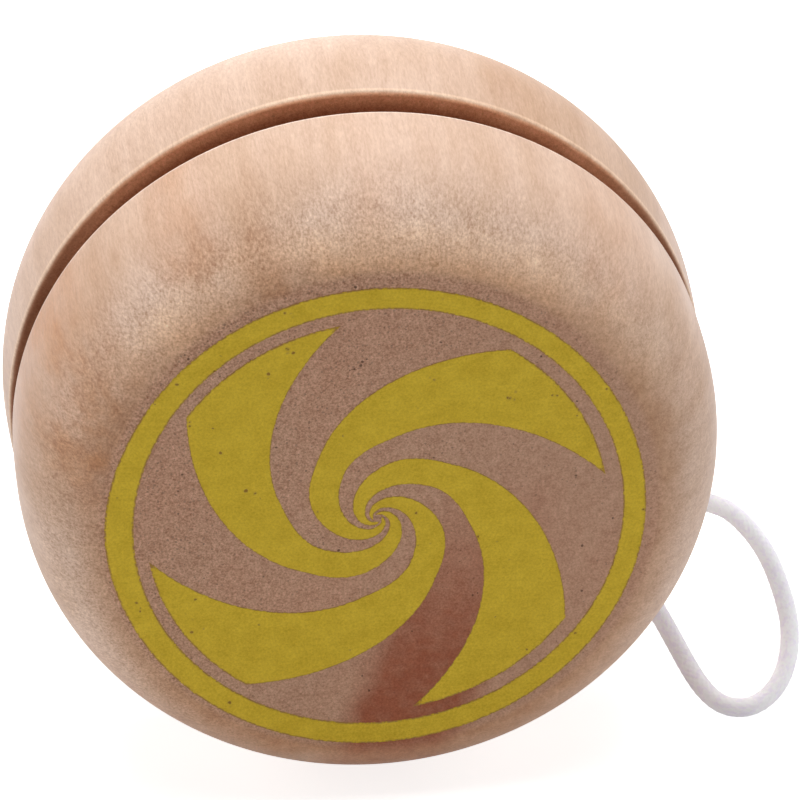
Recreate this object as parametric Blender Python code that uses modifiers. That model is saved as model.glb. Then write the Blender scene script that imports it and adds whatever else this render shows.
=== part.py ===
"""Wooden yo-yo with its string wound up and the finger loop hanging out of the groove.

Metres, +Z up. The axle lies along Y with its middle at the origin, the front face looks
towards -Y, and the rims stand on the plane half a diameter below the origin.
"""

import math

import bpy
from mathutils import Vector
from mathutils.geometry import interpolate_bezier

# Halves, both turned to the same pattern
YOYO_DIAMETER = 0.055
YOYO_THICKNESS = 0.0329
GROOVE_GAP = 0.00287
FACE_DIAMETER = 0.0421
CROWN_INSET = 0.00429  # from the groove wall out to the widest circle
LIP_DROP = 0.00013  # how far the lip of the groove lies under the widest circle
LIP_ROUNDING = 0.00025
SHOULDER_ALONG = 2.06  # exponents of the shoulder's superellipse, along and across the axle
SHOULDER_ACROSS = 1.81

# Axle, a dowel glued into a blind bore of each half
AXLE_DIAMETER = 0.008
AXLE_SEAT_DEPTH = 0.009
AXLE_CHAMFER = 0.0006

# String, one braided cord
CORD_DIAMETER = 0.0015
WINDING_DIAMETER = 0.0325
WINDING_ROUNDING = 0.0006
KNOT_HEIGHT = 0.0042  # away from the axle
KNOT_LENGTH = 0.0046  # round the axle
KNOT_DIRECTION = math.radians(-22.3)  # from +X towards +Z, seen from the front

CLEARANCE = 0.0003  # between pieces that touch

# The finger loop's route outside the groove, from its upper leg round to its lower leg
LOOP_ROUTE = (
    (0.0280, 0.0000, -0.0116),
    (0.0294, 0.0000, -0.0122),
    (0.0308, 0.0000, -0.0137),
    (0.0322, -0.0001, -0.0157),
    (0.0332, -0.0004, -0.0179),
    (0.0338, -0.0009, -0.0198),
    (0.0343, -0.0017, -0.0217),
    (0.0343, -0.0029, -0.0234),
    (0.0338, -0.0043, -0.0249),
    (0.0328, -0.0056, -0.0260),
    (0.0314, -0.0066, -0.0266),
    (0.0299, -0.0071, -0.0267),
    (0.0283, -0.0066, -0.0266),
    (0.0271, -0.0053, -0.0260),
    (0.0262, -0.0037, -0.0251),
    (0.0253, -0.0020, -0.0237),
    (0.0243, -0.0007, -0.0220),
    (0.0239, -0.0003, -0.0214),
)
LOOP_POINT_SPACING = 2.2  # in cord diameters

# Smoothness of the turned shapes
TURNED_STEPS = 72
SHOULDER_POINTS = 12
CROWN_POINTS = 3
SPAN_STEPS = 12


def make_material(name, color, roughness):
    """A plain Principled BSDF."""
    material = bpy.data.materials.new(name)
    material.use_nodes = True
    shader = material.node_tree.nodes["Principled BSDF"]
    shader.inputs["Base Color"].default_value = (*color, 1.0)
    shader.inputs["Roughness"].default_value = roughness
    shader.inputs["Metallic"].default_value = 0.0
    return material


def link_object(name, data, collection, material):
    """An object on its data, in the yo-yo's collection, with its material."""
    piece = bpy.data.objects.new(name, data)
    piece.data.materials.clear()
    piece.data.materials.append(material)
    collection.objects.link(piece)
    return piece


def turned_piece(name, profile, direction, collection, material):
    """A closed solid turned round the axle from (radius, distance along the axle) points.

    The profile runs from its outer end inwards. direction is -1 for a piece whose outer
    end looks towards -Y, and +1 for one that looks towards +Y.
    """
    mesh = bpy.data.meshes.new(name)
    corners = [(radius, 0.0, along) for radius, along in profile]
    edges = [(index, index + 1) for index in range(len(corners) - 1)]
    mesh.from_pydata(corners, edges, [])
    piece = link_object(name, mesh, collection, material)

    screw = piece.modifiers.new("Turn", "SCREW")
    screw.axis = "Z"
    screw.angle = math.tau
    screw.steps = TURNED_STEPS
    screw.render_steps = TURNED_STEPS
    screw.use_merge_vertices = True
    screw.merge_threshold = 0.00001
    screw.use_smooth_shade = True

    # The turning axis is laid along Y, and a flat of the turned shape faces straight down.
    half_step = math.pi / TURNED_STEPS
    piece.rotation_euler = (-direction * math.pi / 2, half_step, 0.0)
    return piece


def half_profile():
    """One half's outline from the middle of its outer face to the bottom of its bore."""
    face_radius = FACE_DIAMETER / 2
    crown_radius = YOYO_DIAMETER / 2
    lip_radius = crown_radius - LIP_DROP
    groove_wall = GROOVE_GAP / 2
    crown_along = groove_wall + CROWN_INSET
    face_along = YOYO_THICKNESS / 2
    bore_radius = AXLE_DIAMETER / 2 + CLEARANCE
    bore_end = groove_wall + AXLE_SEAT_DEPTH + CLEARANCE

    profile = [(0.0, face_along)]
    for index in range(SHOULDER_POINTS + 1):
        angle = math.pi / 2 * (1 - index / SHOULDER_POINTS)
        outward = max(math.cos(angle), 0.0) ** (2 / SHOULDER_ACROSS)
        along = math.sin(angle) ** (2 / SHOULDER_ALONG)
        radius = face_radius + (crown_radius - face_radius) * outward
        profile.append((radius, crown_along + (face_along - crown_along) * along))
    rounding_end = groove_wall + LIP_ROUNDING
    for index in range(1, CROWN_POINTS + 1):
        angle = math.pi / 2 * index / CROWN_POINTS
        radius = lip_radius + LIP_DROP * math.cos(angle)
        profile.append((radius, crown_along - (crown_along - rounding_end) * math.sin(angle)))
    profile.append((lip_radius - LIP_ROUNDING, groove_wall))
    profile.append((bore_radius, groove_wall))
    profile.append((bore_radius, bore_end))
    profile.append((0.0, bore_end))
    return profile


def make_halves(collection):
    """The front and rear halves, each one closed shell of revolution."""
    profile = half_profile()
    wood = make_material("turned_wood", (0.60, 0.38, 0.26), 0.45)
    turned_piece("front_half", profile, -1, collection, wood)
    turned_piece("rear_half", profile, 1, collection, wood)


def make_axle(collection):
    """The dowel that joins the halves and carries the string."""
    radius = AXLE_DIAMETER / 2
    half_length = GROOVE_GAP / 2 + AXLE_SEAT_DEPTH
    profile = [
        (0.0, half_length),
        (radius - AXLE_CHAMFER, half_length),
        (radius, half_length - AXLE_CHAMFER),
        (radius, AXLE_CHAMFER - half_length),
        (radius - AXLE_CHAMFER, -half_length),
        (0.0, -half_length),
    ]
    dowel = make_material("dowel_wood", (0.62, 0.45, 0.28), 0.5)
    turned_piece("axle", profile, 1, collection, dowel)


def winding_width():
    """Room for the string across the groove."""
    return GROOVE_GAP - 2 * CLEARANCE


def make_winding(collection, cord_material):
    """The wound string as one turned ring, free of the axle and of the groove's walls."""
    outer = WINDING_DIAMETER / 2
    inner = AXLE_DIAMETER / 2 + CLEARANCE
    side = winding_width() / 2
    profile = [
        (inner, side),
        (outer - WINDING_ROUNDING, side),
        (outer, side - WINDING_ROUNDING),
        (outer, WINDING_ROUNDING - side),
        (outer - WINDING_ROUNDING, -side),
        (inner, -side),
        (inner, side),
    ]
    turned_piece("string_winding", profile, 1, collection, cord_material)


def knot_centre():
    """The knot lies on the winding, in the middle of the groove."""
    radius = WINDING_DIAMETER / 2 + CLEARANCE + KNOT_HEIGHT / 2
    return Vector((radius * math.cos(KNOT_DIRECTION), 0.0, radius * math.sin(KNOT_DIRECTION)))


def make_knot(collection, cord_material):
    """The overhand knot that closes the finger loop, pressed flat between the groove's walls."""
    bpy.ops.mesh.primitive_uv_sphere_add(segments=24, ring_count=12, radius=0.5)
    knot = bpy.context.object
    knot.name = "string_knot"
    knot.data.name = "string_knot"
    for vertex in knot.data.vertices:
        vertex.co.x *= KNOT_HEIGHT
        vertex.co.y *= winding_width()
        vertex.co.z *= KNOT_LENGTH
    knot.data.shade_smooth()
    knot.data.materials.append(cord_material)
    knot.location = knot_centre()
    knot.rotation_euler = (0.0, -KNOT_DIRECTION, 0.0)
    for holder in knot.users_collection:
        holder.objects.unlink(knot)
    collection.objects.link(knot)


def smooth_route(points, spacing):
    """Evenly spaced points on a smooth curve through the given ones."""
    dense = [points[0]]
    for index in range(len(points) - 1):
        start, end = points[index], points[index + 1]
        before = points[max(index - 1, 0)]
        after = points[min(index + 2, len(points) - 1)]
        leave = start + (end - before) / 6
        arrive = end - (after - start) / 6
        dense.extend(interpolate_bezier(start, leave, arrive, end, SPAN_STEPS)[1:])

    lengths = [(dense[index + 1] - dense[index]).length for index in range(len(dense) - 1)]
    count = round(sum(lengths) / spacing)
    step = sum(lengths) / count
    route = [dense[0]]
    travelled = 0.0
    for start, end, length in zip(dense, dense[1:], lengths):
        while len(route) < count and travelled + length >= len(route) * step:
            share = (len(route) * step - travelled) / length
            route.append(start.lerp(end, share))
        travelled += length
    route.append(dense[-1])
    return route


def finger_loop_points():
    """The loop's route with both of its legs led back to the knot's surface."""
    outside = [Vector(point) for point in LOOP_ROUTE]
    centre = knot_centre()
    reach = max(KNOT_HEIGHT, KNOT_LENGTH) / 2 + CLEARANCE
    first = centre + reach * (outside[0] - centre).normalized()
    last = centre + reach * (outside[-1] - centre).normalized()
    return [first, *outside, last]


def make_finger_loop(collection, cord_material):
    """The loop for the finger, a plain round tube from the knot and back to it."""
    route = smooth_route(finger_loop_points(), LOOP_POINT_SPACING * CORD_DIAMETER)
    curve = bpy.data.curves.new("string_finger_loop", "CURVE")
    curve.dimensions = "3D"
    curve.bevel_depth = CORD_DIAMETER / 2
    curve.bevel_resolution = 2
    curve.use_fill_caps = True
    spline = curve.splines.new("POLY")
    spline.points.add(len(route) - 1)
    for point, place in zip(spline.points, route):
        point.co = (*place, 1.0)
    link_object("string_finger_loop", curve, collection, cord_material)


def make_yoyo():
    for leftover in list(bpy.data.objects):
        bpy.data.objects.remove(leftover, do_unlink=True)
    collection = bpy.data.collections.new("yo_yo")
    bpy.context.scene.collection.children.link(collection)

    make_halves(collection)
    make_axle(collection)
    cord_material = make_material("white_cord", (0.80, 0.79, 0.82), 0.85)
    make_winding(collection, cord_material)
    make_knot(collection, cord_material)
    make_finger_loop(collection, cord_material)


make_yoyo()
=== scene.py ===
"""The wooden yo-yo's visible pieces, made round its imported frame.

Laid out as an add-on and run as a script. Metres, +Z up, the axle along Y with its middle
at the origin, the printed front face towards -Y.
"""

import math

import bmesh
import bpy
from mathutils import Matrix, Vector, noise


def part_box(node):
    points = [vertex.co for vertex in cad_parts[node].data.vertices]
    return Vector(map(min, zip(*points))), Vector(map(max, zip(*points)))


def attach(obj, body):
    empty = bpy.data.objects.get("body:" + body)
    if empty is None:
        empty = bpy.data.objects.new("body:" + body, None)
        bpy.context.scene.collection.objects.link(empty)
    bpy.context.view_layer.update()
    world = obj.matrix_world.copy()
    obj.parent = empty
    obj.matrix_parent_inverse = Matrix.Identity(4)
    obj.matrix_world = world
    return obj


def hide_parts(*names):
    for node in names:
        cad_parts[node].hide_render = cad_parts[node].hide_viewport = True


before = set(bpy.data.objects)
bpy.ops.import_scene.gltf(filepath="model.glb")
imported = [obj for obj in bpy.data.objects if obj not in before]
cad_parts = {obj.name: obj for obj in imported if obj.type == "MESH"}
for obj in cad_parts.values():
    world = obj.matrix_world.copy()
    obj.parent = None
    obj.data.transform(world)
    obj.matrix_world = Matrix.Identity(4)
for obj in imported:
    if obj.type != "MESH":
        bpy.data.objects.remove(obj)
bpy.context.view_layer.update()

bl_info = {
    "name": "Wooden yo-yo",
    "version": (1, 0, 0),
    "blender": (4, 5, 0),
    "location": "3D View > Sidebar > Yo-yo",
    "description": "Builds a turned wooden yo-yo with a printed face and a braided string",
    "category": "Add Mesh",
}

MM = 0.001
QUARTER = math.pi / 2

# Sizes read from the frame, whose round pieces are turned in flats
FRAME_FLATS = 72
FLAT_TO_ROUND = 1 / math.cos(math.pi / FRAME_FLATS)
CROWN_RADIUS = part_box("rear_half")[1].z * FLAT_TO_ROUND
FACE_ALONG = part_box("rear_half")[1].y
GROOVE_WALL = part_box("rear_half")[0].y
AXLE_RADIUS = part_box("axle")[1].z * FLAT_TO_ROUND
AXLE_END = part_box("axle")[1].y
WINDING_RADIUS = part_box("string_winding")[1].z * FLAT_TO_ROUND
KNOT_CENTRE = sum(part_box("string_knot"), Vector()) / 2
FIT_GAP = 0.3 * MM

# Points along the outlines and steps round them
FACE_STEPS = 8
SHOULDER_STEPS = 40
CROWN_STEPS = 10
LIP_STEPS = 8
WALL_STEPS = 8
TURNING_STEPS = 288
DOWEL_STEPS = 96
CORD_SIDES = 60
KNOT_SIDES = 40
KNOT_STEPS = 96
POINTS_PER_TURN = 36

# The finger loop's route outside the groove, from its upper leg round to its lower leg
LOOP_ROUTE = (
    (0.0280, 0.0000, -0.0116),
    (0.0294, 0.0000, -0.0122),
    (0.0308, 0.0000, -0.0137),
    (0.0322, -0.0001, -0.0157),
    (0.0332, -0.0004, -0.0179),
    (0.0338, -0.0009, -0.0198),
    (0.0343, -0.0017, -0.0217),
    (0.0343, -0.0029, -0.0234),
    (0.0338, -0.0043, -0.0249),
    (0.0328, -0.0056, -0.0260),
    (0.0314, -0.0066, -0.0266),
    (0.0299, -0.0071, -0.0267),
    (0.0283, -0.0066, -0.0266),
    (0.0271, -0.0053, -0.0260),
    (0.0262, -0.0037, -0.0251),
    (0.0253, -0.0020, -0.0237),
    (0.0243, -0.0007, -0.0220),
    (0.0239, -0.0003, -0.0214),
)
# Inside the groove: from the winding through the knot, and back from the lower leg to the knot
LEAD_OUT = (
    (0.0155, 0.0, -0.0022),
    (0.0160, 0.0, -0.0046),
    (0.0178, 0.0, -0.0070),
    (0.0207, 0.0, -0.0086),
    (0.0243, 0.0, -0.0101),
)
LEAD_BACK = (
    (0.0229, 0.0, -0.0192),
    (0.0217, 0.0, -0.0167),
    (0.0201, 0.0, -0.0133),
    (0.0186, 0.0, -0.0101),
    (0.0175, 0.0, -0.0078),
)

# Rubbed patches on each half, in millimetres: across and up from the axle, reach, and strength
RUBBED = {
    "front_half": (
        (-22.0, 8.5, 12.0, 1.0),
        (-8.3, 21.0, 5.5, 0.8),
        (-14.0, 21.9, 5.0, 0.6),
        (-0.5, 24.6, 4.0, 0.4),
        (17.0, 17.5, 7.0, 0.45),
        (21.5, 7.0, 7.0, 0.25),
    ),
    "rear_half": (
        (21.5, -9.0, 10.0, 0.8),
        (-6.0, -23.5, 7.0, 0.6),
        (11.0, 21.5, 5.0, 0.5),
    ),
}
# How much more a tone's green and blue change than its red
WOOD_SPREAD = (1.0, 1.4, 1.65)
INK_SPREAD = (1.0, 1.25, 3.0)
FRINGE_SPREAD = (0.15, 1.0, 1.8)
# From one growth ring to the next
RING_SPACING = 3.4 * MM


# Settings


def length_setting(name, description, default):
    return bpy.props.FloatProperty(
        name=name,
        description=description,
        default=default,
        unit="LENGTH",
        subtype="DISTANCE",
        precision=5,
    )


def color_setting(name, description, default):
    return bpy.props.FloatVectorProperty(
        name=name,
        description=description,
        default=default,
        subtype="COLOR",
        size=3,
        min=0.0,
        max=1.0,
    )


def number_setting(name, description, default):
    return bpy.props.FloatProperty(name=name, description=description, default=default)


def lamp_setting(name, description, default):
    return bpy.props.FloatProperty(
        name=name, description=description, default=default, unit="POWER"
    )


class HalvesSettings(bpy.types.PropertyGroup):
    """Sizes and colours of the two turned halves."""

    face_diameter: length_setting("Face", "Width of the flat outer face", 42.1 * MM)
    crown_inset: length_setting("Crown", "From the groove's wall to the widest circle", 4.29 * MM)
    lip_drop: length_setting("Lip drop", "From the widest circle down to the groove's lip", 0.13 * MM)
    front_lip: length_setting("Front lip", "Radius of the front half's lip", 0.20 * MM)
    rear_lip: length_setting("Rear lip", "Radius of the rear half's lip", 0.40 * MM)
    lip_wear: length_setting("Lip wear", "Depth of the torn fibres along the rear lip", 0.14 * MM)
    shoulder_along: number_setting("Shoulder along", "Fullness of the shoulder along the axle", 2.06)
    shoulder_across: number_setting("Shoulder across", "Fullness of the shoulder across the axle", 1.81)
    pale: color_setting("Pale wood", "Colour of the lightest side grain", (0.73, 0.515, 0.395))
    warm: color_setting("Warm wood", "Colour of the redder side grain", (0.60, 0.385, 0.26))
    # Painted highlight on the band round the face, laid on its upper part.
    shoulder_highlight: color_setting("Bleached wood", "Colour of the band round the face", (0.92, 0.62, 0.425))
    burnished: color_setting("Burnished wood", "Colour rubbed into the shoulder", (0.57, 0.275, 0.135))
    end_grain: color_setting("End grain", "Colour across the grain", (0.645, 0.350, 0.225))
    # Painted shade in the groove: the walls run from the first colour, near the lip at the top, to the
    # second deeper in and lower down. The ink's bare spots show the second colour too.
    groove: color_setting("Groove", "Colour of the groove's walls near the lip", (0.96, 0.50, 0.29))
    groove_shade_and_bare_wood: color_setting("Deep groove", "Colour further into the groove", (0.375, 0.155, 0.078))
    # Painted highlight along the front half's lip.
    front_lip_highlight: color_setting("Front lip", "Colour of the front half's sanded lip", (0.90, 0.76, 0.66))
    # Painted highlight along the rear half's lip.
    sanded: color_setting("Rear lip", "Colour of the rear half's sanded lip", (0.95, 0.69, 0.49))
    streak: color_setting("Red streak", "Colour of the lower front's streak", (0.43, 0.122, 0.056))
    pore: color_setting("Pores", "Colour inside the open pores", (0.10, 0.037, 0.014))


class PrintSettings(bpy.types.PropertyGroup):
    """Sizes and colour of the print on the front face."""

    ring_outer: length_setting("Ring outside", "Outer radius of the printed ring", 20.96 * MM)
    ring_inner: length_setting("Ring inside", "Inner radius of the printed ring", 19.06 * MM)
    vane_reach: length_setting("Vane reach", "Radius where the pinwheel's vanes end", 17.98 * MM)
    vane_start: length_setting("Vane start", "Radius where the vanes meet", 0.35 * MM)
    off_centre_x: length_setting("Off centre across", "From the axle to the print", -0.3 * MM)
    off_centre_z: length_setting("Off centre up", "From the axle up to the print", -0.33 * MM)
    film: length_setting("Ink film", "Height of the ink over the wood", 0.02 * MM)
    edge_bleed: length_setting("Edge bleed", "How far the ink's edge wanders", 0.03 * MM)
    ring_slip: length_setting("Ring slip", "How far right the ring's hole sits", 0.12 * MM)
    ring_squeeze: length_setting("Ring squeeze", "How far ink is pressed out on the left", 0.24 * MM)
    vanes: bpy.props.IntProperty(name="Vanes", description="Vanes of the pinwheel", default=4)
    ink: color_setting("Ink", "Colour of the ink", (0.82, 0.57, 0.036))
    pore: color_setting("Inked pores", "Colour of the open pores under the ink", (0.22, 0.055, 0.0))


class StringSettings(bpy.types.PropertyGroup):
    """Sizes and colour of the string."""

    thickness: length_setting("Cord", "Thickness of the braided cord", 1.5 * MM)
    length: length_setting("Length", "Length of the whole string", 0.92)
    strands: bpy.props.IntProperty(name="Strands", description="Strands each way", default=10)
    lead: length_setting("Braid lead", "Length of one strand's full turn", 6.7 * MM)
    relief: length_setting("Relief", "How far a crossing strand stands out", 0.05 * MM)
    white: color_setting("Cord colour", "Colour of the bleached cord", (0.975, 0.965, 0.99))
    # Painted light: a faint glow that brightens the cord's shaded side.
    painted_glow: color_setting("Brightener", "Glow of the whitener in the cord", (0.07, 0.066, 0.085))
    # Painted shade between the strands.
    shade: color_setting("Cord shade", "Colour between the cord's strands", (0.84, 0.795, 0.87))


class StageSettings(bpy.types.PropertyGroup):
    """The floor, the lamps and the camera."""

    floor: color_setting("Floor", "Colour of the floor", (0.70, 0.70, 0.70))
    floor_glow: number_setting("Floor glow", "Brightness of the light under the white floor", 0.20)
    floor_lift: number_setting("Floor lift", "How much brighter the camera sees the floor's glow", 0.60)
    overhead: lamp_setting("Overhead softbox", "Power of the softbox straight overhead", 2.7)
    high_back: lamp_setting("High back softbox", "Power of the softbox high up behind", 1.66)
    low_back: lamp_setting("Low back softbox", "Power of the softbox low down behind", 1.31)
    left: lamp_setting("Left softbox", "Power of the softbox on the left", 1.56)
    right: lamp_setting("Right softbox", "Power of the softbox on the right", 1.40)
    azimuth: bpy.props.FloatProperty(
        name="Azimuth",
        description="The camera's direction round the yo-yo",
        default=math.radians(-6.38),
        subtype="ANGLE",
    )
    elevation: bpy.props.FloatProperty(
        name="Elevation",
        description="The camera's height over the horizon",
        default=math.radians(32.54),
        subtype="ANGLE",
    )
    distance: length_setting("Distance", "From the camera to the middle of the picture", 0.9)
    picture_width: length_setting("Picture width", "Width of what the camera sees there", 62.83 * MM)
    aside: length_setting("Aside", "How far right of the axle the camera points", 3.28 * MM)
    above: length_setting("Above", "How far over the axle the camera points", 0.05 * MM)


# Shader nodes


class Value:
    """A number that varies over a surface. Arithmetic with it adds Math nodes."""

    def __init__(self, nodes, socket):
        self.nodes = nodes
        self.socket = socket

    def math(self, operation, *numbers):
        sockets = dict(enumerate(numbers))
        node = self.nodes.node("ShaderNodeMath", {"operation": operation}, sockets)
        return Value(self.nodes, node.outputs[0])

    def __add__(self, other):
        return self.math("ADD", self, other)

    __radd__ = __add__

    def __sub__(self, other):
        return self.math("SUBTRACT", self, other)

    def __rsub__(self, other):
        return self.math("SUBTRACT", other, self)

    def __mul__(self, other):
        return self.math("MULTIPLY", self, other)

    __rmul__ = __mul__

    def __abs__(self):
        return self.math("ABSOLUTE", self)

    def root(self):
        return self.math("SQRT", self)

    def sine(self):
        return self.math("SINE", self)

    def most(self, other):
        return self.math("MAXIMUM", self, other)

    def rise(self, low, high):
        """0 below low, 1 above high, and a smooth step between them."""
        node = self.nodes.node(
            "ShaderNodeMapRange",
            {"interpolation_type": "SMOOTHSTEP"},
            {"Value": self, "From Min": low, "From Max": high},
        )
        return Value(self.nodes, node.outputs[0])


class Nodes:
    """A node tree that is filled by code."""

    def __init__(self, tree):
        self.tree = tree

    def node(self, kind, settings=None, sockets=None):
        made = self.tree.nodes.new(kind)
        for name, value in (settings or {}).items():
            setattr(made, name, value)
        for key, value in (sockets or {}).items():
            self.feed(made.inputs[key], value)
        return made

    def feed(self, socket, value):
        if isinstance(value, Value):
            value = value.socket
        if isinstance(value, bpy.types.NodeSocket):
            self.tree.links.new(value, socket)
        else:
            socket.default_value = value

    def parts(self, vector):
        """A vector's three numbers."""
        node = self.node("ShaderNodeSeparateXYZ", None, {0: vector})
        return [Value(self, output) for output in node.outputs]

    def joined(self, x, y, z):
        return self.node("ShaderNodeCombineXYZ", None, {0: x, 1: y, 2: z}).outputs[0]

    def stretched(self, vector, scale, shift=(0.0, 0.0, 0.0)):
        """A vector in new units along each axis."""
        node = self.node(
            "ShaderNodeMapping", None, {"Vector": vector, "Location": shift, "Scale": scale}
        )
        return node.outputs[0]

    def noise(self, vector, detail=2.0, roughness=0.5):
        node = self.node(
            "ShaderNodeTexNoise",
            None,
            {"Vector": vector, "Scale": 1.0, "Detail": detail, "Roughness": roughness},
        )
        return Value(self, node.outputs[0])

    def cells(self, vector):
        """Distance to the nearest cell's middle, and that cell's own random number."""
        node = self.node(
            "ShaderNodeTexVoronoi", None, {"Vector": vector, "Scale": 1.0, "Randomness": 1.0}
        )
        return Value(self, node.outputs["Distance"]), self.parts(node.outputs["Color"])[0]

    def mixed(self, share, first, second, blend="MIX"):
        """Two colours mixed."""
        node = self.node("ShaderNodeMix", {"data_type": "RGBA", "blend_type": blend})
        self.feed(node.inputs[0], share)
        self.feed(node.inputs[6], self.opaque(first))
        self.feed(node.inputs[7], self.opaque(second))
        return node.outputs[2]

    def scaled(self, color, share):
        """A colour made lighter or darker."""
        sockets = {0: color, "Scale": share}
        return self.node("ShaderNodeVectorMath", {"operation": "SCALE"}, sockets).outputs[0]

    def toned(self, color, change, spread):
        """A colour made lighter or darker, by a share of the change for each of red, green and blue."""
        factors = self.joined(*(1.0 + change * share for share in spread))
        sockets = {0: color, 1: factors}
        return self.node("ShaderNodeVectorMath", {"operation": "MULTIPLY"}, sockets).outputs[0]

    @staticmethod
    def opaque(color):
        return color if isinstance(color, bpy.types.NodeSocket) else (*color, 1.0)


class Finish(Nodes):
    """A material with one Principled shader."""

    def __init__(self, name):
        self.material = bpy.data.materials.new(name)
        self.material.use_nodes = True
        super().__init__(self.material.node_tree)
        self.shader = self.tree.nodes["Principled BSDF"]
        self.place = self.node("ShaderNodeTexCoord").outputs["Object"]

    def set(self, **sockets):
        """Sets or links the shader's sockets, with spaces written as underscores."""
        for name, value in sockets.items():
            self.feed(self.shader.inputs[name.replace("_", " ")], value)

    def grained(self, scale, shift=(0.0, 0.0, 0.0), detail=2.0, roughness=0.5):
        """Noise from 0 to 1 over the piece."""
        return self.noise(self.stretched(self.place, scale, shift), detail, roughness)

    def bump(self, height, depth, strength=1.0):
        node = self.node(
            "ShaderNodeBump", None, {"Height": height, "Distance": depth, "Strength": strength}
        )
        self.feed(self.shader.inputs["Normal"], node.outputs[0])


def per_mm(across, along=None):
    """Scales for a pattern with so many cycles in a millimetre across and along the grain."""
    along = across if along is None else along
    return (across / MM, along / MM, across / MM)


def grain(finish, shift):
    """Fibres along the axle, then finer ones, each from -1 to 1. Cut across, they show as speckle."""
    fibres = finish.grained(per_mm(1.5, 0.11), shift, 3.0, 0.6)
    speckle = finish.grained(per_mm(5.2, 0.9), shift, 2.0, 0.8)
    return (fibres - 0.5) * 4.0, (speckle - 0.5) * 4.0


def pits(finish, shift, count, least, crowd, rarest):
    """Ragged dots, count to a millimetre, and the worn edge round each, seen along the grain.

    A dot is kept where its own chance and the crowd add up past rarest.
    """
    raggedness, growth = 0.34, 0.22
    dot_edge, worn_edge = 0.08, 0.28
    ragged = finish.grained(per_mm(count * 2.5, 0.1), shift, 2.0)
    distance, chance = finish.cells(finish.stretched(finish.place, per_mm(count, 0.02), shift))
    away = distance + (ragged - 0.5) * raggedness
    reach = least + (chance + crowd - rarest) * growth
    kept = (chance + crowd).rise(rarest, rarest + 0.03)
    dot = (1.0 - away.rise(reach, reach + dot_edge)) * kept
    return dot, (1.0 - away.rise(reach, reach + worn_edge)) * kept


def open_pores(finish, shift):
    """Small dark pits where the grain is cut across: larger ones in clumps, then many fine ones."""
    x, _, z = finish.parts(finish.place)
    upper_left = (z - x).rise(-16.0 * MM, 26.0 * MM)
    clump = finish.grained(per_mm(0.55, 0.01), shift, 1.0).rise(0.62, 0.70)
    large, worn = pits(finish, shift, 2.1, 0.12, clump * (0.3 + upper_left * 0.4), 0.985)
    patches = finish.grained(per_mm(0.16, 0.01), shift, 2.0).rise(0.35, 0.65)
    fine, _ = pits(finish, shift, 2.9, 0.13, upper_left * 0.42 + patches * 0.28, 0.96)
    return large, worn, fine


def from_point(x, z, middle_x, middle_z):
    """Distance from a point, seen along the axle."""
    across, up = x - middle_x, z - middle_z
    return (across * across + up * up).root()


def near(value, middle, full, none):
    """1 within full of the middle, and 0 from none on."""
    return 1.0 - abs(value - middle).rise(full, none)


def end_share(settings, radius):
    """1 on the face, where the surface is cut across the grain, and 0 from the shoulder on."""
    face = settings.face_diameter / 2
    return 1.0 - radius.rise(face + 0.25 * MM, face + 1.25 * MM)


def rubbed_share(marks, x, z):
    """How strongly each spot of the wood is rubbed, from the table's marks."""
    rubbed = 0.0
    for mark_x, mark_z, reach, strength in marks:
        spot = 1.0 - from_point(x, z, mark_x * MM, mark_z * MM).rise(0.0, reach * MM)
        rubbed = (spot * strength).most(rubbed)
    return rubbed


def red_streak(finish, x, z):
    """A streak of red heartwood that runs through the lower right of the front half."""
    lean = 0.34
    wander = finish.grained(per_mm(0.22, 0.05), (3.1, 0.0, 1.7), 2.0, 0.5)
    aside = abs(x - 4.6 * MM - (z + 12 * MM) * lean + (wander - 0.5) * (2.4 * MM))
    inside = 1.0 - aside.rise(2.9 * MM, 6.2 * MM)
    low = 1.0 - z.rise(-17.0 * MM, -7.0 * MM)
    lines = finish.grained(per_mm(0.7, 0.05), (0.4, 0.0, 6.2), 3.0, 0.6)
    length = 1.0 - z.rise(-11.0 * MM, 5.0 * MM)
    on_the_rim = (x * x + z * z).root().rise(20.8 * MM, 23.0 * MM)
    return inside * length * (0.74 + low * 0.22 + (lines - 0.5) * 0.7) * (1.0 - on_the_rim * 0.7)


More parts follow.
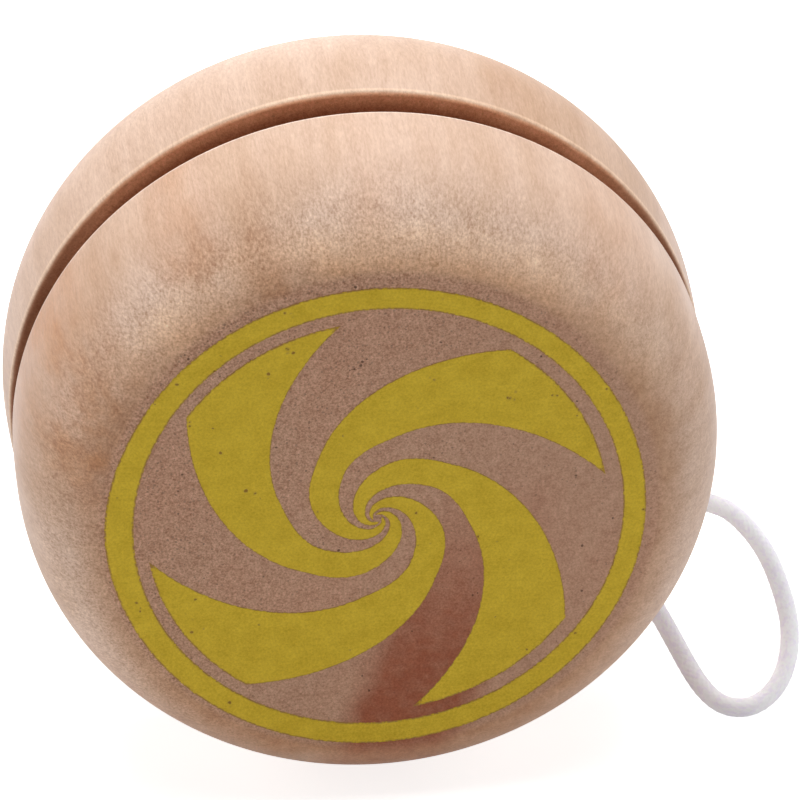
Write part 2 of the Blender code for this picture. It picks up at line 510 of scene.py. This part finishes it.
def wood_finish(node, settings, shift, streaked):
    """Pale reddish hardwood, sanded and oiled, with painted shade in the groove and painted highlights
    on its lips and upper shoulder.
    """
    finish = Finish("turned_wood_" + node)
    x, y, z = finish.parts(finish.place)
    along = abs(y)
    radius = (x * x + z * z).root()
    fibres, speckle = grain(finish, shift)
    end = end_share(settings, radius)
    face = settings.face_diameter / 2

    # The side grain, with the marks rubbed into it, a painted highlight on the upper band round the
    # face, and a darker, redder lower front
    clouds = finish.grained(per_mm(0.075, 0.05), shift, 3.0, 0.5)
    flames = finish.grained(per_mm(0.42, 0.05), shift, 2.0, 0.55)
    tone = clouds * 0.68 + flames * 0.32
    color = finish.mixed(tone.rise(0.36, 0.70), settings.pale, settings.warm)
    patchy = finish.grained(per_mm(0.28, 0.12), (shift[0] + 5.0, 0.0, 2.0), 3.0, 0.6)
    rubbed = rubbed_share(RUBBED[node], x, z)
    color = finish.mixed(rubbed * (0.70 + (patchy - 0.5) * 2.2), color, settings.burnished)
    if streaked:
        # Painted highlight: a pale band round the face's edge, on the upper part of the front half only.
        band = near(radius, face + 2.4 * MM, 0.6 * MM, 2.4 * MM)
        upward = z.rise(4.0 * MM, 22.0 * MM) * (1.0 - rubbed)
        color = finish.mixed(band * upward * (0.70 + (patchy - 0.5) * 1.5), color, settings.shoulder_highlight)
        # Darker and redder towards the bottom of the front half.
        under = 1.0 - z.rise(-24.0 * MM, -10.0 * MM)
        color = finish.mixed(under * (0.42 + (patchy - 0.5)), color, settings.burnished)

    # The face, the groove's walls with their painted shade, and the lips with their painted highlights
    fringe = 1.0 - radius.rise(face + 0.6 * MM, face + 3.8 * MM)
    color = finish.toned(color, fringe * (1.0 - rubbed * 0.6) * -0.17, FRINGE_SPREAD)
    across = finish.mixed(clouds.rise(0.3, 0.7) * 0.3, settings.end_grain, settings.warm)
    color = finish.mixed(end, color, across)
    wall = 1.0 - along.rise(GROOVE_WALL + 0.03 * MM, GROOVE_WALL + 0.26 * MM)
    # Painted shade: the groove's walls darken deeper in and lower down, and keep the lighter colour only
    # near the lip at the top.
    depth = 1.0 - radius.rise(CROWN_RADIUS - 2.0 * MM, CROWN_RADIUS - 0.35 * MM)
    shaded = 1.0 - z.rise(8.0 * MM, 26.0 * MM)
    inside = finish.mixed(depth.most(shaded), settings.groove, settings.groove_shade_and_bare_wood)
    color = finish.mixed(wall, color, inside)
    at_lip = radius.rise(CROWN_RADIUS - 0.5 * MM, CROWN_RADIUS - 0.2 * MM)
    if streaked:
        # Painted highlight: a pale line along the front half's lip.
        front_lip_highlight = near(along, GROOVE_WALL + 0.13 * MM, 0.06 * MM, 0.22 * MM) * at_lip
        color = finish.mixed(front_lip_highlight * 0.7, color, settings.front_lip_highlight)
        color = finish.mixed(red_streak(finish, x, z), color, settings.streak)
    else:
        # Painted highlight: a warm light line, in patches, along the rear half's lip.
        sanded = near(along, GROOVE_WALL + 0.34 * MM, 0.10 * MM, 0.34 * MM) * at_lip
        color = finish.mixed(sanded * (0.08 + patchy * 0.75), color, settings.sanded)

    # Growth rings, fibres and pores
    wavering = finish.grained(per_mm(0.05, 0.01), shift, 1.0) * (9 * MM)
    from_pith = from_point(x, z, -38 * MM, 24 * MM) + wavering
    rings = (from_pith * (math.tau / RING_SPACING)).sine()
    sugary = radius.rise(face - 0.5 * MM, face + 1.5 * MM)
    sugary = sugary * (1.0 - radius.rise(face + 4.2 * MM, CROWN_RADIUS))
    rough = end.most(sugary)
    coarse = (z * 0.5 - x).rise(-16.0 * MM, 14.0 * MM)
    open_grain = sugary * (0.05 + coarse * 0.14) + end * (0.11 + coarse * 0.18)
    change = rings * (0.015 if streaked else end * 0.035 + 0.01)
    change += fibres * (0.05 + rough * 0.05) + speckle * (0.12 + open_grain)
    color = finish.toned(color, change, WOOD_SPREAD)
    large, _, fine = open_pores(finish, shift)
    pores = large.most(fine * 0.45) * end.most(wall * 0.3)
    color = finish.mixed(pores * 0.8, color, settings.pore)

    finish.set(Base_Color=color, Roughness=0.44 + speckle * 0.06, Specular_IOR_Level=0.22)
    finish.set(Sheen_Weight=0.16, Sheen_Roughness=0.24, Sheen_Tint=(0.93, 0.90, 1.0, 1.0))
    finish.bump(speckle * 0.5 + fibres * 0.3 - pores * 2.0, 0.03 * MM, 0.6)
    return finish.material


def ink_finish(settings, halves, shift):
    """Ochre ink, stamped thin enough that the wood's pores show through it."""
    finish = Finish("ochre_ink")
    fibres, speckle = grain(finish, shift)
    large, worn, fine = open_pores(finish, shift)
    blotches = finish.grained(per_mm(0.6), detail=2.0, roughness=0.6)
    streaks = finish.grained((0.25 / MM, 0.0, 3.0 / MM), detail=2.0, roughness=0.6)
    edge = finish.node("ShaderNodeAttribute", {"attribute_name": "edge"}).outputs["Fac"]
    edge = Value(finish, edge)
    fringe = 1.0 - (edge + speckle * (0.02 * MM)).rise(0.01 * MM, 0.13 * MM)
    change = speckle * 0.15 + (blotches - 0.5) * 0.30 + (streaks - 0.5) * 0.14 - fringe * 0.16
    color = finish.toned((*settings.ink,), change, INK_SPREAD)
    ragged = finish.grained(per_mm(3.4, 0.4), detail=2.0, roughness=0.7).rise(0.34, 0.58)
    seam = (1.0 - edge.rise(0.06 * MM, 0.18 * MM)) * ragged
    bare = (worn * 0.7).most(fringe * fine).most(seam * 1.2)
    color = finish.mixed(bare * 0.6, color, halves.groove_shade_and_bare_wood)
    color = finish.mixed(large * 0.6, color, settings.pore)
    finish.set(Base_Color=color, Roughness=0.48 + speckle * 0.05, Specular_IOR_Level=0.15)
    finish.bump(speckle * 0.6 + fibres * 0.3 - large * 2.0, 0.02 * MM, 0.6)
    return finish.material


def cord_finish(settings):
    """Bleached cord, matt and slightly fuzzy, with painted shade between its strands and a faint painted
    glow.
    """
    finish = Finish("white_cord")
    laid = finish.node("ShaderNodeUVMap", {"uv_map": "UVMap"}).outputs[0]
    tufts = finish.noise(finish.stretched(laid, (1.3 / MM, 2.0 / MM, 1.0)), 2.0, 0.6)
    hairs = finish.noise(finish.stretched(laid, (9.0 / MM, 14.0 / MM, 1.0)), 2.0, 0.7)
    drift = finish.noise(finish.stretched(laid, (0.35 / MM, 0.5 / MM, 1.0)), 1.0)
    # Painted shade between the strands: a lavender mottle laid by noise.
    between = (tufts * 0.75 + hairs * 0.25 + drift * 0.2).rise(0.50, 0.74)
    color = finish.mixed(between * 0.8, settings.white, settings.shade)
    finish.set(Base_Color=color, Roughness=0.85, Specular_IOR_Level=0.2)
    finish.set(Sheen_Weight=0.9, Sheen_Roughness=0.5, Sheen_Tint=(0.95, 0.90, 1.0, 1.0))
    finish.set(Subsurface_Weight=1.0, Subsurface_Radius=(1.0, 1.0, 1.0), Subsurface_Scale=1.2 * MM)
    # Painted light: the cord glows faintly to brighten its shaded side.
    finish.set(Emission_Color=(*settings.painted_glow, 1.0), Emission_Strength=1.0)
    finish.bump(hairs + tufts, 0.03 * MM, 0.7)
    return finish.material


def dowel_finish():
    """Plain sanded dowel."""
    finish = Finish("dowel_wood")
    fibres, speckle = grain(finish, (2.0, 0.0, 5.0))
    plain = (0.62, 0.45, 0.28)
    shade = 1.0 + fibres * 0.08 + speckle * 0.05
    finish.set(Base_Color=finish.scaled(plain, shade), Roughness=0.55)
    finish.bump(fibres, 0.03 * MM, 0.5)
    return finish.material


# Meshes


def piece_from(name, bm, material, smooth_angle=math.radians(30)):
    """A finished object at the origin, shaded smooth but for its sharp edges."""
    mesh = bpy.data.meshes.new(name)
    bm.to_mesh(mesh)
    bm.free()
    mesh.shade_smooth()
    mesh.set_sharp_from_angle(angle=smooth_angle)
    mesh.materials.append(material)
    piece = bpy.data.objects.new(name, mesh)
    bpy.context.scene.collection.objects.link(piece)
    return piece


def turned(profile, steps):
    """A closed body turned round Y from (radius, along) points that start and end on the axis."""
    bm = bmesh.new()
    corners = [bm.verts.new((radius, along, 0.0)) for radius, along in profile]
    edges = [bm.edges.new(pair) for pair in zip(corners, corners[1:])]
    bmesh.ops.spin(
        bm,
        geom=corners + edges,
        axis=(0.0, 1.0, 0.0),
        cent=(0.0, 0.0, 0.0),
        angle=math.tau,
        steps=steps,
        use_merge=True,
    )
    bmesh.ops.remove_doubles(bm, verts=bm.verts, dist=1e-7)
    bmesh.ops.recalc_face_normals(bm, faces=bm.faces)
    return bm


def arc(start, end, bend, count):
    """Points of a quarter ellipse from start to end, whose corner is at bend. start is left out."""
    points = []
    for index in range(1, count + 1):
        turn = QUARTER * index / count
        lean, reach = 1 - math.cos(turn), math.sin(turn)
        points.append(
            (
                start[0] + (bend[0] - start[0]) * reach + (end[0] - bend[0]) * lean,
                start[1] + (bend[1] - start[1]) * reach + (end[1] - bend[1]) * lean,
            )
        )
    return points


def shoulder_point(settings, turn):
    """(radius, along) of the shoulder, from the face's edge at turn 0 to the crown at turn 1."""
    angle = QUARTER * (1 - turn)
    outward = max(math.cos(angle), 0.0) ** (2 / settings.shoulder_across)
    along = math.sin(angle) ** (2 / settings.shoulder_along)
    face = settings.face_diameter / 2
    crown_along = GROOVE_WALL + settings.crown_inset
    return face + (CROWN_RADIUS - face) * outward, crown_along + (FACE_ALONG - crown_along) * along


def face_height(settings, radius):
    """How far out along the axle the outer surface lies at a radius near the face."""
    face = settings.face_diameter / 2
    if radius <= face:
        return FACE_ALONG
    outward = (radius - face) / (CROWN_RADIUS - face)
    cosine = outward ** (settings.shoulder_across / 2)
    sine = math.sqrt(1 - cosine * cosine)
    crown_along = GROOVE_WALL + settings.crown_inset
    return crown_along + (FACE_ALONG - crown_along) * sine ** (2 / settings.shoulder_along)


def half_profile(settings, rounding):
    """One half's outline, from the middle of its outer face to the bottom of its bore."""
    face = settings.face_diameter / 2
    lip = CROWN_RADIUS - settings.lip_drop
    crown_along = GROOVE_WALL + settings.crown_inset
    bore = AXLE_RADIUS + FIT_GAP
    bore_end = AXLE_END + FIT_GAP

    profile = [(face * step / FACE_STEPS, FACE_ALONG) for step in range(FACE_STEPS + 1)]
    for step in range(1, SHOULDER_STEPS + 1):
        profile.append(shoulder_point(settings, step / SHOULDER_STEPS))
    lip_along = GROOVE_WALL + rounding
    for step in range(1, CROWN_STEPS + 1):
        share = step / CROWN_STEPS
        radius = CROWN_RADIUS - settings.lip_drop * share * share
        profile.append((radius, crown_along + (lip_along - crown_along) * share))
    inner = lip - rounding
    profile += arc((lip, lip_along), (inner, GROOVE_WALL), (lip, GROOVE_WALL), LIP_STEPS)
    for step in range(1, WALL_STEPS + 1):
        profile.append((inner + (bore - inner) * step / WALL_STEPS, GROOVE_WALL))
    profile += [(bore, bore_end), (0.0, bore_end)]
    return profile


def worn_lip(bm, settings):
    """Lets torn fibres nick the lip of the groove here and there."""
    reach = 0.5 * MM
    long_waves, short_waves = 450, 1300
    lip = CROWN_RADIUS - settings.lip_drop
    for vertex in bm.verts:
        radius = math.hypot(vertex.co.x, vertex.co.z)
        nearness = 1 - math.hypot(radius - lip, abs(vertex.co.y) - GROOVE_WALL) / reach
        if nearness <= 0:
            continue
        wave = noise.noise(vertex.co * long_waves) + 0.5 * noise.noise(vertex.co * short_waves)
        bite = settings.lip_wear * nearness * max(0.0, wave)
        vertex.co.y += math.copysign(bite, vertex.co.y)


def ring_frames(path):
    """Each point of a path with two directions square to it that don't twist along it."""
    frames = []
    side = None
    for index, point in enumerate(path):
        before, after = path[max(index - 1, 0)], path[min(index + 1, len(path) - 1)]
        ahead = (after - before).normalized()
        if side is None:
            side = ahead.orthogonal()
        side = (side - ahead * side.dot(ahead)).normalized()
        frames.append((point, side, ahead.cross(side)))
    return frames


def swept(path, radius_at, sides):
    """A closed tube along a path. radius_at takes the share of a turn and the distance travelled."""
    frames = ring_frames(path)
    travelled = [0.0]
    for start, end in zip(path, path[1:]):
        travelled.append(travelled[-1] + (end - start).length)
    bm = bmesh.new()
    laid = bm.loops.layers.uv.new("UVMap")
    last = len(path) - 1
    bmesh.ops.create_grid(bm, x_segments=last, y_segments=sides, size=0.5, calc_uvs=True)
    round_it = math.tau * radius_at(0.0, 0.0)
    for face in bm.faces:
        for loop in face.loops:
            along, around = loop[laid].uv
            loop[laid].uv = (travelled[round(along * last)], around * round_it)
    for vertex in bm.verts:
        ring = round((vertex.co.x + 0.5) * last)
        around = round((vertex.co.y + 0.5) * sides) % sides / sides
        centre, side, up = frames[ring]
        radius = radius_at(around, travelled[ring])
        angle = math.tau * around
        vertex.co = centre + (side * math.cos(angle) + up * math.sin(angle)) * radius
    bmesh.ops.remove_doubles(bm, verts=bm.verts, dist=1e-6)
    rims = [edge for edge in bm.edges if edge.is_boundary]
    bmesh.ops.holes_fill(bm, edges=rims, sides=0)
    bmesh.ops.recalc_face_normals(bm, faces=bm.faces)
    return bm


def spline_through(points, spacing):
    """A smooth curve that follows the points.

    spacing gives how far apart its own points lie near the control point of an index.
    """
    ends = [points[0] * 2 - points[1], *points, points[-1] * 2 - points[-2]]
    curve = [points[0]]
    for index in range(len(points) - 1):
        a, b, c, d = ends[index : index + 4]
        steps = max(1, math.ceil((c - b).length / spacing(index)))
        for step in range(1, steps + 1):
            t = step / steps
            weights = ((1 - t) ** 3, 3 * t**3 - 6 * t**2 + 4, 3 * (t - t**3 + t**2) + 1, t**3)
            curve.append(sum((p * w for p, w in zip((a, b, c, d), weights)), Vector()) / 6)
    return curve


# Pieces


def braid(settings):
    """The braided cord's radius, for a share of a turn and a distance along the cord.

    Its strands run round it both ways, and each crosses over one and under the next.
    """
    strands, lead = settings.strands, settings.lead
    crossing = 0.7
    middle_height = 1.2

    def radius(around, travelled):
        first = strands * (around + travelled / lead)
        second = strands * (around - travelled / lead)
        over = math.sin(math.pi * second) * (-1) ** math.floor(first)
        under = -math.sin(math.pi * first) * (-1) ** math.floor(second)
        height = max(
            abs(math.sin(math.pi * first)) + crossing * over,
            abs(math.sin(math.pi * second)) + crossing * under,
        )
        return settings.thickness / 2 + settings.relief * (height - middle_height)

    return radius


def winding_points(settings, free_length):
    """The string's turns, from the axle outwards.

    Each turn lies beside the one under it, on the groove's other side.
    """
    inner = AXLE_RADIUS + settings.thickness / 2
    outer = WINDING_RADIUS - settings.thickness / 2
    turns = (settings.length - free_length) / (math.pi * (inner + outer))
    wall_gap = 0.08 * MM
    side = GROOVE_WALL - settings.thickness / 2 - wall_gap
    squareness = 2.4
    count = round(turns * POINTS_PER_TURN)
    points = []
    for index in range(count + 1):
        left = (count - index) / POINTS_PER_TURN
        angle = math.tau * left
        radius = inner + (outer - inner) * index / count
        swing = math.sin(math.pi * left + 0.5 * math.sin(1.3 * left))
        settle = min(1.0, left * 6)
        across = side * math.tanh(squareness * swing) / math.tanh(squareness) * settle
        points.append(Vector((radius * math.cos(angle), across, radius * math.sin(angle))))
    return points


def path_length(path):
    return sum((end - start).length for start, end in zip(path, path[1:]))


def string_path(settings):
    """The whole string's line: off the axle, through the winding and the knot, and round the loop."""
    free = [Vector(point) for point in (*LEAD_OUT, *LOOP_ROUTE, *LEAD_BACK)]
    wound = winding_points(settings, path_length(free))
    last_turn = len(wound) - POINTS_PER_TURN - 4
    fine, medium, coarse = 0.11 * MM, 0.36 * MM, 1.4 * MM

    def spacing(index):
        if index >= len(wound):
            return fine
        return medium if index > last_turn else coarse

    return spline_through(wound + free, spacing)


def knot_path():
    """An overhand knot's line, flat enough for the groove."""
    across, along, up = 0.5 * MM, 0.5 * MM, 0.53 * MM
    points = []
    for step in range(KNOT_STEPS + 1):
        turn = math.tau * step / KNOT_STEPS
        offset = Vector(
            (
                (math.sin(turn) + 2 * math.sin(2 * turn)) * across,
                math.sin(3 * turn) * along,
                (math.cos(turn) - 2 * math.cos(2 * turn)) * up,
            )
        )
        points.append(KNOT_CENTRE + offset)
    return points


# Where each softbox hangs, and how wide it is
SOFTBOXES = {
    "overhead": ((0.0, 0.0, 0.60), 0.45),
    "high_back": ((0.0, 0.35, 0.50), 0.45),
    "low_back": ((0.0, 0.60, 0.20), 0.50),
    "left": ((-0.60, 0.10, 0.20), 0.50),
    "right": ((0.60, 0.10, 0.20), 0.50),
}


class YOYO_OT_stage(bpy.types.Operator):
    """Make the camera, the lamps and the pale floor"""

    bl_idname = "yoyo.stage"
    bl_label = "Stage"

    def execute(self, context):
        settings = context.scene.yoyo_stage
        self.make_camera(context, settings)
        self.make_floor(settings)
        for name, (place, size) in SOFTBOXES.items():
            self.make_lamp(name + "_softbox", place, size, getattr(settings, name))
        self.make_room(context)
        context.scene.view_settings.view_transform = "Standard"
        return {"FINISHED"}

    @staticmethod
    def make_camera(context, settings):
        back = Vector(
            (
                math.sin(settings.azimuth) * math.cos(settings.elevation),
                -math.cos(settings.azimuth) * math.cos(settings.elevation),
                math.sin(settings.elevation),
            )
        )
        right = Vector((0.0, 0.0, 1.0)).cross(back).normalized()
        up = back.cross(right)
        aim = right * settings.aside + up * settings.above
        camera = bpy.data.objects.new("camera", bpy.data.cameras.new("camera"))
        camera.data.lens = camera.data.sensor_width * settings.distance / settings.picture_width
        camera.data.clip_start = 0.01
        camera.data.clip_end = 20.0
        camera.matrix_world = Matrix.Translation(aim + back * settings.distance) @ Matrix(
            (right, up, back)
        ).transposed().to_4x4()
        context.scene.collection.objects.link(camera)
        context.scene.camera = camera

    @staticmethod
    def make_floor(settings):
        finish = Finish("pale_floor")
        finish.set(Base_Color=(*settings.floor, 1.0), Roughness=0.9, Specular_IOR_Level=0.2)
        seen = Value(finish, finish.node("ShaderNodeLightPath").outputs["Is Camera Ray"])
        glow = seen * settings.floor_lift + settings.floor_glow
        finish.set(Emission_Color=finish.joined(glow, glow, glow), Emission_Strength=1.0)
        bm = bmesh.new()
        bmesh.ops.create_grid(bm, x_segments=1, y_segments=1, size=3.0)
        for vertex in bm.verts:
            vertex.co.z = -CROWN_RADIUS
        piece_from("floor", bm, finish.material)

    @staticmethod
    def make_lamp(name, place, size, power):
        lamp = bpy.data.lights.new(name, "AREA")
        lamp.size = size
        lamp.energy = power
        holder = bpy.data.objects.new(name, lamp)
        holder.location = place
        holder.rotation_euler = Vector(place).to_track_quat("Z", "Y").to_euler()
        holder.visible_camera = False
        bpy.context.scene.collection.objects.link(holder)

    @staticmethod
    def make_room(context):
        """A white room that only the camera sees, so the softboxes alone light the yo-yo."""
        world = bpy.data.worlds.new("studio")
        world.use_nodes = True
        nodes = Nodes(world.node_tree)
        seen = nodes.node("ShaderNodeLightPath").outputs["Is Camera Ray"]
        background = world.node_tree.nodes["Background"]
        nodes.feed(background.inputs["Color"], (1.0, 1.0, 1.0, 1.0))
        nodes.feed(background.inputs["Strength"], seen)
        context.scene.world = world


class YOYO_OT_string(bpy.types.Operator):
    """Make the braided string: its turns in the groove, its knot and its finger loop"""

    bl_idname = "yoyo.string"
    bl_label = "String"

    def execute(self, context):
        settings = context.scene.yoyo_string
        finish = cord_finish(settings)
        path = string_path(settings)
        strands = braid(settings)
        cord = piece_from("braided_string", swept(path, strands, CORD_SIDES), finish, math.pi)
        squeeze = 0.15 * MM
        tightened = swept(knot_path(), lambda *place: strands(*place) - squeeze, KNOT_SIDES)
        knot = piece_from("loop_knot", tightened, finish, math.pi)
        for piece in (cord, knot):
            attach(piece, "string")
        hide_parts("string_winding", "string_finger_loop")
        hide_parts("string_knot")
        return {"FINISHED"}


class YOYO_OT_halves(bpy.types.Operator):
    """Make the two turned wooden halves"""

    bl_idname = "yoyo.halves"
    bl_label = "Halves"

    def execute(self, context):
        settings = context.scene.yoyo_halves
        for node, direction, rounding, shift in (
            ("front_half", -1, settings.front_lip, (0.0, 0.0, 0.0)),
            ("rear_half", 1, settings.rear_lip, (7.3, 2.1, 4.6)),
        ):
            outline = half_profile(settings, rounding)
            profile = [(radius, along * direction) for radius, along in outline]
            bm = turned(profile, TURNING_STEPS)
            if direction > 0:
                worn_lip(bm, settings)
            finish = wood_finish(node, settings, shift, direction < 0)
            piece = piece_from("turned_" + node, bm, finish)
            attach(piece, "spool")
            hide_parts(node)
        return {"FINISHED"}


class YOYO_OT_axle(bpy.types.Operator):
    """Make the dowel that joins the halves"""

    bl_idname = "yoyo.axle"
    bl_label = "Axle"

    def execute(self, context):
        chamfer = 0.6 * MM
        profile = [
            (0.0, AXLE_END),
            (AXLE_RADIUS - chamfer, AXLE_END),
            (AXLE_RADIUS, AXLE_END - chamfer),
            (AXLE_RADIUS, chamfer - AXLE_END),
            (AXLE_RADIUS - chamfer, -AXLE_END),
            (0.0, -AXLE_END),
        ]
        piece = piece_from("dowel_axle", turned(profile, DOWEL_STEPS), dowel_finish())
        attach(piece, "spool")
        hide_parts("axle")
        return {"FINISHED"}


class YOYO_OT_print(bpy.types.Operator):
    """Make the printed ring and pinwheel on the front face"""

    bl_idname = "yoyo.print"
    bl_label = "Print"

    def execute(self, context):
        settings = context.scene.yoyo_print
        halves = context.scene.yoyo_halves
        finish = ink_finish(settings, halves, (0.0, 0.0, 0.0))
        self.make_film("printed_ring", self.ring_sheet(settings), settings, halves, finish)
        self.make_film("printed_pinwheel", self.pinwheel_sheet(settings), settings, halves, finish)
        return {"FINISHED"}

    @staticmethod
    def ring_sheet(settings):
        """The ring, laid flat. Each point knows its distance from the ring's edge."""
        bm = bmesh.new()
        edge = bm.verts.layers.float.new("edge")
        bulge_width = 0.3
        bmesh.ops.create_grid(bm, x_segments=960, y_segments=6, size=0.5)
        for vertex in bm.verts:
            around, out = vertex.co.x + 0.5, vertex.co.y + 0.5
            radius = settings.ring_inner + (settings.ring_outer - settings.ring_inner) * out
            angle = math.tau * around
            nearness = math.exp(-(((angle - math.pi) / bulge_width) ** 2))
            squeezed = settings.ring_squeeze * nearness * out
            slipped = settings.ring_slip * (1 - out)
            reach = radius + squeezed
            vertex.co = (reach * math.cos(angle) + slipped, reach * math.sin(angle), 0.0)
            vertex[edge] = min(radius - settings.ring_inner, settings.ring_outer - radius)
        bmesh.ops.remove_doubles(bm, verts=bm.verts, dist=1e-7)
        return bm

    @staticmethod
    def vane_middle(radius):
        """The angle of a vane's middle line, a logarithmic spiral with a slight elbow."""
        size = radius / MM
        elbow_start, elbow_length, elbow_turn = 5.1, 2.4, 9.9
        first_angle, tightness = 185.9, 81.0
        elbow = min(max((size - elbow_start) / elbow_length, 0.0), 1.0)
        elbow = elbow * elbow * (3 - 2 * elbow)
        return math.radians(first_angle - tightness * math.log(size) - elbow_turn * elbow)

    @staticmethod
    def vane_width(radius):
        """The angle that a vane covers, wider towards the middle."""
        outer_width, extra_width, fading = 46.1, 11.7, 3.1
        return math.radians(outer_width + extra_width * math.exp(-max(radius / MM - 2.0, -0.5) / fading))

    @classmethod
    def pinwheel_sheet(cls, settings):
        """All vanes, flat. Each point knows its distance from its vane's edge."""
        whole = bmesh.new()
        edge = whole.verts.layers.float.new("edge")
        for vane in range(settings.vanes):
            turn = math.tau * vane / settings.vanes
            first = len(whole.verts)
            bmesh.ops.create_grid(whole, x_segments=300, y_segments=28, size=0.5)
            whole.verts.ensure_lookup_table()
            for vertex in whole.verts[first:]:
                out, aside = vertex.co.x + 0.5, vertex.co.y
                radius = settings.vane_start * (settings.vane_reach / settings.vane_start) ** out
                width = cls.vane_width(radius)
                angle = cls.vane_middle(radius) + width * aside + turn
                vertex.co = (radius * math.cos(angle), radius * math.sin(angle), 0.0)
                vertex[edge] = min((0.5 - abs(aside)) * width * radius, settings.vane_reach - radius)
        return whole

    @staticmethod
    def make_film(name, bm, settings, halves, finish):
        """Lays a flat sheet on the face and gives it the ink's thickness."""
        waves = 3500
        elsewhere = Vector((9, 9, 9))
        for vertex in bm.verts:
            if vertex.is_boundary:
                vertex.co.x += noise.noise(vertex.co * waves) * settings.edge_bleed
                vertex.co.y += noise.noise(vertex.co * waves + elsewhere) * settings.edge_bleed
        sheet = list(bm.faces)
        raised = bmesh.ops.extrude_face_region(bm, geom=sheet)["geom"]
        raised = {item for item in raised if isinstance(item, bmesh.types.BMVert)}
        for vertex in bm.verts:
            across = vertex.co.x + settings.off_centre_x
            up = vertex.co.y + settings.off_centre_z
            lift = settings.film if vertex in raised else -settings.film
            height = face_height(halves, math.hypot(across, up)) + lift
            vertex.co = (across, -height, up)
        bmesh.ops.recalc_face_normals(bm, faces=bm.faces)
        piece = piece_from(name, bm, finish)
        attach(piece, "spool")


class YOYO_PT_panel(bpy.types.Panel):
    """The yo-yo's settings and makers"""

    bl_idname = "YOYO_PT_panel"
    bl_label = "Yo-yo"
    bl_space_type = "VIEW_3D"
    bl_region_type = "UI"
    bl_category = "Yo-yo"

    def draw(self, context):
        for maker, group in MAKERS:
            box = self.layout.box()
            box.operator(maker.bl_idname)
            if group:
                settings = getattr(context.scene, group)
                for name in settings.__annotations__:
                    box.prop(settings, name)


MAKERS = (
    (YOYO_OT_stage, "yoyo_stage"),
    (YOYO_OT_string, "yoyo_string"),
    (YOYO_OT_halves, "yoyo_halves"),
    (YOYO_OT_axle, None),
    (YOYO_OT_print, "yoyo_print"),
)
GROUPS = {
    "yoyo_stage": StageSettings,
    "yoyo_string": StringSettings,
    "yoyo_halves": HalvesSettings,
    "yoyo_print": PrintSettings,
}
CLASSES = (*GROUPS.values(), *(maker for maker, _ in MAKERS), YOYO_PT_panel)


def register():
    for each in CLASSES:
        bpy.utils.register_class(each)
    for name, group in GROUPS.items():
        setattr(bpy.types.Scene, name, bpy.props.PointerProperty(type=group))


def unregister():
    for name in GROUPS:
        delattr(bpy.types.Scene, name)
    for each in reversed(CLASSES):
        bpy.utils.unregister_class(each)


def main():
    register()
    bpy.ops.yoyo.stage()
    bpy.ops.yoyo.string()
    bpy.ops.yoyo.halves()
    bpy.ops.yoyo.axle()
    bpy.ops.yoyo.print()


if __name__ == "__main__":
    main()
